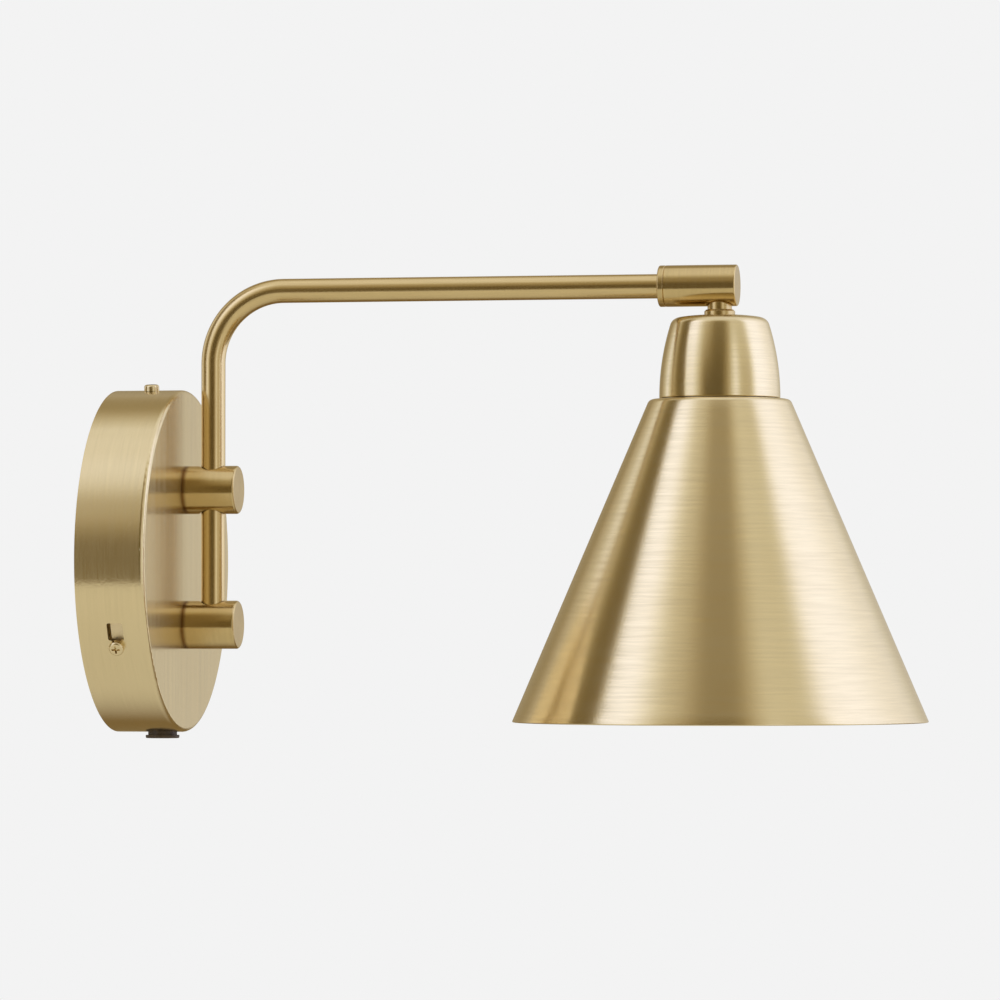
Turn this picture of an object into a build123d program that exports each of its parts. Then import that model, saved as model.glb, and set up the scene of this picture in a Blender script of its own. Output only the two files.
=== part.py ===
from build123d import *
import os
from math import cos, radians, sin, sqrt

# Swing-arm wall lamp in brushed brass. Millimetres, +Z up. The wall is the plane Y = 0 and
# the lamp stands out from it toward -Y. The origin is the centre of the canopy's back.
# "out" is a distance from the wall; "drop" is a distance below the arm's level axis.

# ---------------------------------------------------------------- driving sizes
# canopy, the round cover on the wall
canopy_r = 71.0
canopy_depth = 29.0
canopy_wall = 1.2
canopy_face = 1.5
canopy_edge_round = 2.0

# two posts on the canopy that carry the arm
boss_r = 10.0
boss_length = 22.0
boss_edge_round = 1.0
upper_boss_z = 29.5
boss_spacing = 56.0
boss_floor = 3.5            # metal left under the blind hole of the lower post

# arm tube
tube_r = 5.0
tube_wall = 1.0
bend_r = 30.0               # on the tube's centreline
arm_z = 112.0               # height of the level run
arm_reach = 213.0           # from the upright axis to the axis of the neck
lead_window_w = 6.0         # window in the tube's foot, on the wall's side, for the leads
lead_window_h = 9.0

# liners and washers of the swing bearing
bush_wall = 0.6
bush_recess = 0.1           # below the post's surface
thrust_t = 1.0
running_gap = 0.05          # radial play of a turning fit
end_gap = 0.1               # axial play of a turning fit

# knuckle at the end of the arm
knuckle_r = 8.5
knuckle_length = 32.3
knuckle_ring = 2.6          # the bush's visible ring at the arm's side
knuckle_bore_r = 6.5
knuckle_end_wall = 2.4
knuckle_edge_round = 0.6
seam_chamfer = 0.25
bush_plug = 5.0
pin_r = 4.0                 # the hollow bolt that the knuckle turns on
pin_bore_r = 2.5
pin_thread = 8.0            # inside the arm tube
pin_head_r = 6.0
pin_head_h = 3.0
spring_washer_t = 0.8

# neck, cap and shade
neck_r = 5.0
neck_bore_r = 3.5
neck_into_bore = 1.3
neck_thread = 12.0          # below the cap's top
seat_ring_r = 6.3
seat_ring_h = 2.3
seat_ring_bevel = 0.7
neck_visible = 1.4          # between the knuckle and the seat ring
cap_r = 24.7
cap_height = 33.9
cap_wall = 1.0
cap_corner_r = 19.4
cap_corner_drop = 1.3
cap_crown_rise = 0.2
cap_side_bulge = 1.4
cap_corner_round = 4.2
cap_lip_round = 0.4
cap_gap = 0.4               # dark seam between the cap and the shade
cone_top_r = 28.8
cone_r = 85.0
cone_height = 131.8
cone_wall = 1.0
cone_corner_round = 2.6
cone_rim_round = 0.4

# lampholder for an E27 bulb
holder_r = 19.8
holder_flange_r = 23.1
holder_flange_h = 2.6
holder_length = 44.6
holder_dome_h = 17.0
holder_dome_round = 6.0
holder_entry_r = 8.0
holder_entry_h = 4.0
socket_r = 13.3             # the thread's clear bore
socket_depth = 25.0
shell_t = 0.5
shell_inset = 2.0           # from the holder's lower rim
contact_r = 4.0
contact_h = 3.0
contact_gap = 1.0           # between the shell's inner end and the contact's tip
shade_ring_r = 25.5
shade_ring_h = 5.0
shade_ring_ribs = 24
thread_gap = 0.1
lock_nut_af = 14.0
lock_nut_h = 3.2
seat_land = 0.2             # flat of the cap beyond the nut's corners

# wall bracket inside the canopy
bracket_r = 56.0
bracket_t = 1.5
tab_t = 1.3
tab_gap = 0.3               # between the tabs and the rim
tab_leg_width = 12.0        # degrees of rim
tab_leg_start = 10.0        # degrees past the screw
tab_finger_tail = 6.0       # degrees behind the screw
tab_depth = 20.3
tab_finger_back = 13.4
arm_width = 24.0
fixing_spacing = 60.0
fixing_slot_r = 2.4
fixing_slot_length = 9.0
cable_hole_r = 8.0

# radial screws that hold the canopy to the bracket's tabs
screw_out = 15.5
screw_angles = (96.0, 210.0, 330.0)
screw_names = ("top", "near", "far")
screw_head_r = 3.1
screw_head_h = 2.6
screw_shank_r = 1.7
screw_shank_length = 6.5
screw_head_round = 1.1
entry_width = 6.6           # keyhole in the rim: wide entry for the head, narrow slot
entry_start = 2.9
entry_length = 7.6
entry_round = 0.8
slot_clearance = 0.25

# parts behind the canopy's face
stiffener_w = 26.0
stiffener_h = 92.0
stiffener_t = 2.0
bolt_r = 3.0
bolt_land = 0.5             # metal left between the bolt's end and the bush
bolt_head_af = 10.0
bolt_head_h = 4.0
lead_nipple_r = 5.0
lead_nipple_bore_r = 3.5
lead_nipple_nut_af = 14.0
lead_nipple_nut_h = 3.0
lead_nipple_tail = 1.0

# terminal block, earth screw and grommet on the bracket
block_size = (30.0, 13.0, 16.0)
block_z = 34.0
block_round = 1.0
terminal_count = 3
terminal_pitch = 9.0
terminal_screw_r = 1.8
terminal_screw_h = 5.0
terminal_well_r = 2.1
terminal_well_depth = 6.0
terminal_wire_r = 1.5
slit_w = 0.7
slit_depth = 0.8
earth_xz = (24.0, -26.0)
earth_head_r = 3.5
earth_head_h = 2.4
earth_washer_r = 5.0
earth_washer_t = 0.8
grommet_lip_r = 10.5
grommet_lip_t = 1.6
grommet_bore_r = 4.0

# push switch at the bottom of the canopy
switch_out = 18.4
button_neck_r = 6.0
button_cap_r = 7.0
button_cap_h = 1.3
button_show = 2.6           # below the rim, not pressed
button_travel = 1.0
button_round = 0.5
button_in_body = 6.0
button_gap = 0.2
switch_w = 20.0
switch_d = 15.0
switch_h = 17.0

# ---------------------------------------------------------------- places that follow
tube_standoff = boss_length / 2                         # the tube stands in the posts' middle
tube_out = canopy_depth + tube_standoff
neck_out = tube_out + arm_reach
knuckle_out = neck_out + neck_r + knuckle_end_wall      # outer end of the knuckle
ring_out = knuckle_out - knuckle_length                 # arm-side face of the ring
barrel_out = ring_out + knuckle_ring
arm_end_out = ring_out - end_gap
lower_boss_z = upper_boss_z - boss_spacing
bush_r = tube_r + running_gap + bush_wall               # hole in both posts
bush_half = sqrt(boss_r ** 2 - bush_r ** 2) - bush_recess
bolt_into_boss = tube_standoff - bush_r - bolt_land
foot_floor_z = lower_boss_z - boss_r + boss_floor
tube_foot_z = foot_floor_z + thrust_t + end_gap
tube_bore_r = tube_r - tube_wall
cap_flat_r = lock_nut_af / sqrt(3) + seat_land
seat_top_drop = knuckle_r + neck_visible
cap_top_drop = seat_top_drop + seat_ring_h
cap_bottom_drop = cap_top_drop + cap_height
cone_top_drop = cap_bottom_drop + cap_gap
cone_bottom_drop = cone_top_drop + cone_height
holder_top_drop = cap_top_drop + cap_wall + lock_nut_h
holder_bottom_drop = holder_top_drop + holder_length
holder_dome_drop = holder_top_drop + holder_dome_h      # joint of dome and skirt
rim_inner_r = canopy_r - canopy_wall
face_inner_out = canopy_depth - canopy_face
stiffener_out = face_inner_out - stiffener_t
tab_r = rim_inner_r - tab_gap
screw_slot_r = screw_shank_r + slot_clearance
button_hole_r = button_neck_r + button_gap
button_neck_h = button_show - button_cap_h
switch_well = button_in_body + button_travel + 1.0


def side(out):
    """Upright plane at that distance from the wall, facing away from it: X across, Y up."""
    return Plane.XZ.offset(out)


def level(z, out):
    """Level plane at height z, centred at that distance from the wall."""
    return Plane(origin=(0, -out, z), x_dir=(1, 0, 0), z_dir=(0, 0, 1))


def rim_plane(angle, r, out):
    """Plane square to the canopy's radius at that angle: X around the rim, Y off the wall."""
    c, s = cos(radians(angle)), sin(radians(angle))
    return Plane(origin=(c * r, -out, s * r), x_dir=(-s, 0, c), z_dir=(c, 0, s))


def head_level(drop):
    """Level plane on the neck's axis, that far below the arm."""
    return level(arm_z - drop, neck_out)


def pan_screw(plane, head_r, head_h, head_round, shank_r, shank_length):
    """Screw with a rounded pan head and a cross recess; the plane is the head's underside."""
    with BuildPart() as screw:
        with BuildSketch(plane):
            Circle(head_r)
        extrude(amount=head_h)
        crown = screw.faces().sort_by(Axis(plane.origin, plane.z_dir))[-1]
        fillet(crown.edges(), head_round)
        with BuildSketch(plane.offset(head_h)):
            Rectangle(head_r * 1.1, head_r * 0.26)
            Rectangle(head_r * 0.26, head_r * 1.1)
        extrude(amount=-head_h * 0.5, mode=Mode.SUBTRACT)
        with BuildSketch(plane):
            Circle(shank_r)
        extrude(amount=-shank_length)
    return screw


def slotted_screw(plane, r, h, slit, slit_deep):
    """Plain cylinder with a driver's slit; the plane is its foot."""
    with BuildPart() as screw:
        with BuildSketch(plane):
            Circle(r)
        extrude(amount=h)
        with BuildSketch(plane.offset(h)):
            Rectangle(2 * r + 1, slit)
        extrude(amount=-slit_deep, mode=Mode.SUBTRACT)
    return screw


def hex_nut(plane, af, bore_r, h):
    """Hexagon nut on the plane, af across its flats."""
    with BuildPart() as nut:
        with BuildSketch(plane):
            RegularPolygon(radius=af / 2, side_count=6, major_radius=False)
            Circle(bore_r, mode=Mode.SUBTRACT)
        extrude(amount=h)
    return nut


def liner(plane, outer_r, bore_r, h):
    """Plain ring or sleeve standing on the plane."""
    with BuildPart() as ring:
        with BuildSketch(plane):
            Circle(outer_r)
            Circle(bore_r, mode=Mode.SUBTRACT)
        extrude(amount=h)
    return ring


# ---------------------------------------------------------------- canopy on the wall
# Steel bracket: a round plate with three arms, each ending in a leg that stands along the
# rim and a finger with the tapped hole of a cover screw.
with BuildPart() as wall_bracket:
    with BuildSketch(side(0)):
        Circle(bracket_r)
        for angle in screw_angles:
            middle = angle - tab_leg_start - tab_leg_width / 2
            with Locations(Rotation(0, 0, middle)):
                with Locations((tab_r / 2, 0)):
                    Rectangle(tab_r, arm_width)
        Circle(tab_r, mode=Mode.INTERSECT)
        Circle(cable_hole_r, mode=Mode.SUBTRACT)
        with Locations((-fixing_spacing / 2, 0), (fixing_spacing / 2, 0)):
            SlotOverall(fixing_slot_length, 2 * fixing_slot_r, mode=Mode.SUBTRACT)
        with Locations(earth_xz):
            Circle(screw_shank_r, mode=Mode.SUBTRACT)
    extrude(amount=bracket_t)
    for angle in screw_angles:
        leg_end = angle - tab_leg_start - tab_leg_width
        with BuildSketch(side(0)):
            with BuildLine():
                outer = CenterArc((0, 0), tab_r, leg_end, tab_leg_width)
                inner = CenterArc((0, 0), tab_r - tab_t, leg_end, tab_leg_width)
                Line(outer @ 0, inner @ 0)
                Line(outer @ 1, inner @ 1)
            make_face()
        extrude(amount=tab_depth)
        with BuildSketch(side(tab_finger_back)):
            with BuildLine():
                outer = CenterArc((0, 0), tab_r, leg_end, tab_leg_width + tab_leg_start + tab_finger_tail)
                inner = CenterArc((0, 0), tab_r - tab_t, leg_end,
                                  tab_leg_width + tab_leg_start + tab_finger_tail)
                Line(outer @ 0, inner @ 0)
                Line(outer @ 1, inner @ 1)
            make_face()
        extrude(amount=tab_depth - tab_finger_back)
        with BuildSketch(rim_plane(angle, tab_r - 2 * tab_t, screw_out)):
            Circle(screw_shank_r)
        extrude(amount=4 * tab_t, mode=Mode.SUBTRACT)

# Spun cover: a shallow cup with a keyhole for each cover screw and the switch's hole.
with BuildPart() as canopy_cover:
    with BuildSketch(side(0)):
        Circle(canopy_r)
    extrude(amount=canopy_depth)
    fillet(canopy_cover.faces().sort_by(Axis.Y)[0].edges(), canopy_edge_round)
    with BuildSketch(side(0)):
        Circle(rim_inner_r)
    extrude(amount=face_inner_out, mode=Mode.SUBTRACT)
    with BuildSketch(side(face_inner_out)):
        with Locations((0, upper_boss_z)):
            Circle(bolt_r)
        with Locations((0, lower_boss_z)):
            Circle(lead_nipple_r)
    extrude(amount=canopy_face, mode=Mode.SUBTRACT)
    for angle in screw_angles:
        with BuildSketch(rim_plane(angle, rim_inner_r - 4, screw_out)):
            with Locations((-entry_start - entry_length / 2, 0)):
                RectangleRounded(entry_length, entry_width, entry_round)
            with Locations((-entry_start / 2 - entry_round / 2, 0)):
                Rectangle(entry_start + entry_round, 2 * screw_slot_r)
            Circle(screw_slot_r)
        extrude(amount=canopy_wall + 6, mode=Mode.SUBTRACT)
    with BuildSketch(rim_plane(270, rim_inner_r - 4, switch_out)):
        Circle(button_hole_r)
    extrude(amount=canopy_wall + 6, mode=Mode.SUBTRACT)

cover_screws = {
    "cover_screw_" + name: pan_screw(rim_plane(angle, canopy_r, screw_out), screw_head_r, screw_head_h,
                                     screw_head_round, screw_shank_r, screw_shank_length)
    for name, angle in zip(screw_names, screw_angles)}

# Steel strip that spreads the posts' load behind the canopy's face.
with BuildPart() as stiffener_plate:
    with BuildSketch(side(stiffener_out)):
        with Locations((0, (upper_boss_z + lower_boss_z) / 2)):
            RectangleRounded(stiffener_w, stiffener_h, 4)
        with Locations((0, upper_boss_z)):
            Circle(bolt_r, mode=Mode.SUBTRACT)
        with Locations((0, lower_boss_z)):
            Circle(lead_nipple_r, mode=Mode.SUBTRACT)
    extrude(amount=stiffener_t)

# ---------------------------------------------------------------- posts and swing bearing
# Upper post: the arm tube passes right through it. A bolt holds it from inside the canopy.
with BuildPart() as upper_boss:
    with BuildSketch(side(canopy_depth)):
        with Locations((0, upper_boss_z)):
            Circle(boss_r)
    extrude(amount=boss_length)
    fillet(upper_boss.faces().sort_by(Axis.Y)[0].edges(), boss_edge_round)
    with BuildSketch(side(canopy_depth)):
        with Locations((0, upper_boss_z)):
            Circle(bolt_r)
    extrude(amount=bolt_into_boss, mode=Mode.SUBTRACT)
    with BuildSketch(level(upper_boss_z - boss_r, tube_out)):
        Circle(bush_r)
    extrude(amount=2 * boss_r, mode=Mode.SUBTRACT)

# Lower post: the tube stands in its blind hole, and the leads leave through a nipple.
with BuildPart() as lower_boss:
    with BuildSketch(side(canopy_depth)):
        with Locations((0, lower_boss_z)):
            Circle(boss_r)
    extrude(amount=boss_length)
    fillet(lower_boss.faces().sort_by(Axis.Y)[0].edges(), boss_edge_round)
    with BuildSketch(level(foot_floor_z, tube_out)):
        Circle(bush_r)
    extrude(amount=2 * boss_r, mode=Mode.SUBTRACT)
    with BuildSketch(side(canopy_depth)):
        with Locations((0, lower_boss_z)):
            Circle(lead_nipple_r)
    extrude(amount=bolt_into_boss, mode=Mode.SUBTRACT)
    with BuildSketch(side(canopy_depth)):
        with Locations((0, lower_boss_z)):
            Circle(lead_nipple_bore_r)
    extrude(amount=tube_standoff, mode=Mode.SUBTRACT)

with BuildPart() as upper_boss_bolt:
    with BuildSketch(side(stiffener_out - bolt_head_h)):
        with Locations((0, upper_boss_z)):
            RegularPolygon(radius=bolt_head_af / 2, side_count=6, major_radius=False)
    extrude(amount=bolt_head_h)
    with BuildSketch(side(stiffener_out)):
        with Locations((0, upper_boss_z)):
            Circle(bolt_r)
    extrude(amount=canopy_depth + bolt_into_boss - stiffener_out)

nipple_back = stiffener_out - lead_nipple_nut_h - lead_nipple_tail
nipple_plane = Plane(origin=(0, -nipple_back, lower_boss_z), x_dir=(1, 0, 0), z_dir=(0, -1, 0))
lead_nipple = liner(nipple_plane, lead_nipple_r, lead_nipple_bore_r,
                    canopy_depth + bolt_into_boss - nipple_back)
lead_nipple_nut = hex_nut(nipple_plane.offset(lead_nipple_tail), lead_nipple_nut_af,
                          lead_nipple_r, lead_nipple_nut_h)

upper_bush = liner(level(upper_boss_z - bush_half, tube_out), bush_r, tube_r + running_gap, 2 * bush_half)

# The lower bush has a window toward the wall, where the leads turn into the nipple.
lower_bush_h = lower_boss_z + bush_half - foot_floor_z - thrust_t
with BuildPart() as lower_bush:
    with BuildSketch(level(foot_floor_z + thrust_t, tube_out)):
        Circle(bush_r)
        Circle(tube_r + running_gap, mode=Mode.SUBTRACT)
    extrude(amount=lower_bush_h)
    with BuildSketch(side(canopy_depth)):
        with Locations((0, lower_boss_z)):
            Rectangle(2 * lead_nipple_bore_r, 2 * lead_nipple_bore_r)
    extrude(amount=tube_standoff - tube_bore_r, mode=Mode.SUBTRACT)

with BuildPart() as thrust_disc:
    with BuildSketch(level(foot_floor_z, tube_out)):
        Circle(bush_r)
    extrude(amount=thrust_t)

# ---------------------------------------------------------------- arm
# One bent tube: upright in the posts, a quarter bend, then level to the knuckle.
with BuildPart() as arm_tube:
    with BuildLine() as arm_path:
        upright = Line((0, -tube_out, tube_foot_z), (0, -tube_out, arm_z - bend_r))
        turn = ThreePointArc(upright @ 1,
                             (0, -tube_out - bend_r * (1 - cos(radians(45))),
                              arm_z - bend_r * (1 - sin(radians(45)))),
                             (0, -tube_out - bend_r, arm_z))
        Line(turn @ 1, (0, -arm_end_out, arm_z))
    with BuildSketch(level(tube_foot_z, tube_out)):
        Circle(tube_r)
        Circle(tube_bore_r, mode=Mode.SUBTRACT)
    sweep()
    with BuildSketch(side(tube_out - tube_r - 1)):
        with Locations((0, lower_boss_z)):
            Rectangle(lead_window_w, lead_window_h)
    extrude(amount=tube_r + 1 - tube_bore_r / 2, mode=Mode.SUBTRACT)

# Hollow bolt in the tube's end; its head holds the knuckle's bush against the tube.
bush_end_out = barrel_out + bush_plug
washer_out = bush_end_out + end_gap
pin_plane = Plane(origin=(0, -(arm_end_out - pin_thread), arm_z), x_dir=(1, 0, 0), z_dir=(0, -1, 0))
pin_length = washer_out + spring_washer_t - arm_end_out + pin_thread
with BuildPart() as swivel_bolt:
    with BuildSketch(pin_plane):
        Circle(pin_r)
    extrude(amount=pin_length)
    with BuildSketch(pin_plane.offset(pin_length)):
        Circle(pin_head_r)
    extrude(amount=pin_head_h)
    with BuildSketch(pin_plane):
        Circle(pin_bore_r)
    extrude(amount=pin_length + pin_head_h, mode=Mode.SUBTRACT)

spring_washer = liner(Plane(origin=(0, -washer_out, arm_z), x_dir=(1, 0, 0), z_dir=(0, -1, 0)),
                      pin_head_r, pin_r + running_gap, spring_washer_t)

# ---------------------------------------------------------------- knuckle
ring_plane = Plane(origin=(0, -ring_out, arm_z), x_dir=(1, 0, 0), z_dir=(0, -1, 0))
with BuildPart() as swivel_bush:
    with BuildSketch(ring_plane):
        Circle(knuckle_r)
    extrude(amount=knuckle_ring)
    fillet(swivel_bush.faces().sort_by(Axis.Y)[-1].edges(), knuckle_edge_round)
    chamfer(swivel_bush.faces().sort_by(Axis.Y)[0].edges(), seam_chamfer)
    with BuildSketch(ring_plane.offset(knuckle_ring)):
        Circle(knuckle_bore_r)
    extrude(amount=bush_plug)
    with BuildSketch(ring_plane):
        Circle(pin_r + running_gap)
    extrude(amount=knuckle_ring + bush_plug, mode=Mode.SUBTRACT)

# Barrel: bored from the arm's side, closed at its outer end, with the neck's hole below.
with BuildPart() as knuckle_barrel:
    with BuildSketch(ring_plane.offset(knuckle_ring)):
        Circle(knuckle_r)
    extrude(amount=knuckle_length - knuckle_ring)
    fillet(knuckle_barrel.faces().sort_by(Axis.Y)[0].edges(), knuckle_edge_round)
    chamfer(knuckle_barrel.faces().sort_by(Axis.Y)[-1].edges(), seam_chamfer)
    with BuildSketch(ring_plane.offset(knuckle_ring)):
        Circle(knuckle_bore_r)
    extrude(amount=knuckle_length - knuckle_ring - knuckle_end_wall, mode=Mode.SUBTRACT)
    with BuildSketch(head_level(0)):
        Circle(neck_r)
    extrude(amount=-knuckle_r, mode=Mode.SUBTRACT)

# ---------------------------------------------------------------- neck and cap
neck_top_drop = knuckle_bore_r - neck_into_bore
neck_length = cap_top_drop + neck_thread - neck_top_drop
neck_nipple = liner(head_level(neck_top_drop + neck_length), neck_r, neck_bore_r, neck_length)

# Turned ring on the neck that the cap hangs against.
with BuildPart() as seat_ring:
    with BuildSketch(head_level(cap_top_drop)):
        Circle(seat_ring_r)
    extrude(amount=seat_ring_h)
    chamfer(seat_ring.faces().sort_by(Axis.Z)[-1].edges(), seat_ring_bevel)
    with BuildSketch(head_level(cap_top_drop)):
        Circle(neck_r)
    extrude(amount=seat_ring_h, mode=Mode.SUBTRACT)

# Domed cap: a flat seat, a low crown, a round shoulder and gently bulging sides.
cap_top_z = arm_z - cap_top_drop
cap_bottom_z = arm_z - cap_bottom_drop
neck_axis = Axis((0, -neck_out, 0), (0, 0, 1))
with BuildPart() as shade_cap:
    for inset, how in ((0.0, Mode.ADD), (cap_wall, Mode.SUBTRACT)):
        top_z, low_z = cap_top_z - inset, cap_bottom_z - (0.0 if inset == 0 else 1.0)
        corner_r, corner_z = cap_corner_r - inset, cap_top_z - cap_corner_drop - inset
        side_r = cap_r - inset
        with BuildSketch(side(neck_out)) as half_cap:
            with BuildLine():
                crown = ThreePointArc((cap_flat_r, top_z),
                                      ((cap_flat_r + corner_r) / 2,
                                       (top_z + corner_z) / 2 + cap_crown_rise),
                                      (corner_r, corner_z))
                flank = ThreePointArc(crown @ 1,
                                      ((corner_r + side_r) / 2 + cap_side_bulge,
                                       (corner_z + cap_bottom_z) / 2),
                                      (side_r, cap_bottom_z))
                Polyline(flank @ 1, (side_r, low_z), (0, low_z), (0, top_z), crown @ 0) if inset else \
                    Polyline(flank @ 1, (0, low_z), (0, top_z), crown @ 0)
            make_face()
            fillet(half_cap.vertices().sort_by_distance((corner_r, corner_z, 0))[0],
                   cap_corner_round - inset)
        revolve(axis=neck_axis, mode=how)
    with BuildSketch(head_level(cap_top_drop)):
        Circle(neck_r)
    extrude(amount=-2 * cap_wall, mode=Mode.SUBTRACT)
    rim = shade_cap.faces().sort_by(Axis.Z)[0].edges().sort_by(SortBy.LENGTH)[-1]
    fillet(rim, cap_lip_round)

lock_nut = hex_nut(head_level(holder_top_drop), lock_nut_af, neck_r, lock_nut_h)

# ---------------------------------------------------------------- lampholder and shade
# Upper half of the holder: threaded entry for the neck and a domed shoulder.
with BuildPart() as holder_dome:
    with BuildSketch(head_level(holder_dome_drop)):
        Circle(holder_r)
    extrude(amount=holder_dome_h - holder_entry_h)
    fillet(holder_dome.faces().sort_by(Axis.Z)[-1].edges(), holder_dome_round)
    with BuildSketch(head_level(holder_top_drop + holder_entry_h)):
        Circle(holder_entry_r)
    extrude(amount=holder_entry_h)
    with BuildSketch(head_level(holder_top_drop)):
        Circle(neck_r)
    extrude(amount=-(cap_top_drop + neck_thread - holder_top_drop), mode=Mode.SUBTRACT)
    with BuildSketch(head_level(holder_dome_drop)):
        Circle(socket_r)
    extrude(amount=holder_dome_drop - cap_top_drop - neck_thread - 1, mode=Mode.SUBTRACT)
    with BuildSketch(head_level(holder_dome_drop)):
        Circle(neck_bore_r)
    extrude(amount=holder_dome_h, mode=Mode.SUBTRACT)

# Lower half: the flange that rests on the shade, the threaded skirt and the bulb's well.
with BuildPart() as holder_skirt:
    with BuildSketch(head_level(holder_bottom_drop)):
        Circle(holder_r)
    extrude(amount=holder_bottom_drop - holder_dome_drop)
    with BuildSketch(head_level(cone_top_drop)):
        Circle(holder_flange_r)
    extrude(amount=holder_flange_h)
    chamfer(holder_skirt.faces().sort_by(Axis.Z)[0].edges(), 0.8)
    with BuildSketch(head_level(holder_bottom_drop)):
        Circle(socket_r + shell_t)
    extrude(amount=socket_depth, mode=Mode.SUBTRACT)

lamp_shell = liner(head_level(holder_bottom_drop - shell_inset), socket_r + shell_t, socket_r,
                   socket_depth - shell_inset - contact_h - contact_gap)
well_floor_drop = holder_bottom_drop - socket_depth
with BuildPart() as centre_contact:
    with BuildSketch(head_level(well_floor_drop)):
        Circle(contact_r)
    extrude(amount=-contact_h)
    fillet(centre_contact.faces().sort_by(Axis.Z)[0].edges(), 1.0)

# Ribbed ring that clamps the shade up against the flange.
with BuildPart() as shade_ring:
    with BuildSketch(head_level(cone_top_drop + cone_wall + shade_ring_h)):
        Circle(shade_ring_r)
        with PolarLocations(shade_ring_r, shade_ring_ribs):
            Circle(1.0, mode=Mode.SUBTRACT)
        Circle(holder_r + thread_gap, mode=Mode.SUBTRACT)
    extrude(amount=shade_ring_h)

# Conical shade: flat top ring, round shoulder, straight flank and a rounded rim.
cone_top_z = arm_z - cone_top_drop
cone_bottom_z = arm_z - cone_bottom_drop
slant = sqrt((cone_r - cone_top_r) ** 2 + cone_height ** 2)
flank_in = cone_wall * slant / cone_height              # the wall measured level
flank_step = cone_wall * (cone_r - cone_top_r) / cone_height
with BuildPart() as shade_cone:
    with BuildSketch(side(neck_out)) as half_cone:
        with BuildLine():
            Polyline((holder_r + thread_gap, cone_top_z), (cone_top_r, cone_top_z),
                     (cone_r, cone_bottom_z), (cone_r - flank_in, cone_bottom_z),
                     (cone_top_r - flank_in + flank_step, cone_top_z - cone_wall),
                     (holder_r + thread_gap, cone_top_z - cone_wall), close=True)
        make_face()
        fillet(half_cone.vertices().sort_by_distance((cone_top_r, cone_top_z, 0))[0], cone_corner_round)
        fillet(half_cone.vertices().sort_by_distance(
            (cone_top_r - flank_in + flank_step, cone_top_z - cone_wall, 0))[0],
            cone_corner_round - cone_wall)
        fillet(half_cone.vertices().group_by(Axis.Y)[0], cone_rim_round)
    revolve(axis=neck_axis)

# ---------------------------------------------------------------- electrical parts
block_w, block_d, block_h = block_size
terminal_xs = [(i - (terminal_count - 1) / 2) * terminal_pitch for i in range(terminal_count)]
block_front = bracket_t + block_d
with BuildPart() as terminal_block:
    with BuildSketch(side(bracket_t)):
        with Locations((0, block_z)):
            RectangleRounded(block_w, block_h, block_round)
    extrude(amount=block_d)
    with BuildSketch(side(block_front)):
        with Locations([(x, block_z + s * block_h / 4) for x in terminal_xs for s in (-1, 1)]):
            Circle(terminal_well_r)
    extrude(amount=-terminal_well_depth, mode=Mode.SUBTRACT)
    with BuildSketch(level(block_z - block_h / 2, bracket_t + block_d / 3)):
        with Locations([(x, 0) for x in terminal_xs]):
            Circle(terminal_wire_r)
    extrude(amount=block_h, mode=Mode.SUBTRACT)

terminal_screws = {}
for i, x in enumerate(terminal_xs):
    for end, s in (("feed", -1), ("lamp", 1)):
        foot = Plane(origin=(x, -(block_front - terminal_well_depth), block_z + s * block_h / 4),
                     x_dir=(1, 0, 0), z_dir=(0, -1, 0))
        terminal_screws["terminal_screw_%s_%d" % (end, i + 1)] = slotted_screw(
            foot, terminal_screw_r, terminal_screw_h, slit_w, slit_depth)

earth_plane = Plane(origin=(earth_xz[0], -bracket_t, earth_xz[1]), x_dir=(1, 0, 0), z_dir=(0, -1, 0))
earth_washer = liner(earth_plane, earth_washer_r, screw_shank_r, earth_washer_t)
earth_screw = pan_screw(earth_plane.offset(earth_washer_t), earth_head_r, earth_head_h, 0.9,
                        screw_shank_r, earth_washer_t + bracket_t)

# Rubber grommet in the bracket's cable hole: a sleeve with a lip on the room's side.
with BuildPart() as cable_grommet:
    with BuildSketch(side(0)):
        Circle(cable_hole_r)
    extrude(amount=bracket_t)
    with BuildSketch(side(bracket_t)):
        Circle(grommet_lip_r)
    extrude(amount=grommet_lip_t)
    fillet(cable_grommet.faces().sort_by(Axis.Y)[0].edges(), 0.6)
    with BuildSketch(side(0)):
        Circle(grommet_bore_r)
    extrude(amount=bracket_t + grommet_lip_t, mode=Mode.SUBTRACT)

# ---------------------------------------------------------------- push switch
# The housing's foot is shaped to the inside of the rim; the button slides in its well.
switch_top_z = -rim_inner_r + switch_h
with BuildPart() as switch_body:
    with BuildSketch(level(switch_top_z, switch_out)):
        RectangleRounded(switch_w, switch_d, 1.5)
    extrude(amount=-switch_h)
    with BuildSketch(side(0)):
        Circle(rim_inner_r)
    extrude(amount=canopy_depth, mode=Mode.INTERSECT)
    with BuildSketch(level(-canopy_r, switch_out)):
        Circle(button_hole_r)
    extrude(amount=canopy_wall + switch_well, mode=Mode.SUBTRACT)

with BuildPart() as switch_button:
    with BuildSketch(level(-canopy_r - button_show, switch_out)):
        Circle(button_cap_r)
    extrude(amount=button_cap_h)
    fillet(switch_button.faces().sort_by(Axis.Z)[0].edges(), button_round)
    with BuildSketch(level(-canopy_r - button_neck_h, switch_out)):
        Circle(button_neck_r)
    extrude(amount=button_neck_h + canopy_wall + button_in_body)

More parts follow.
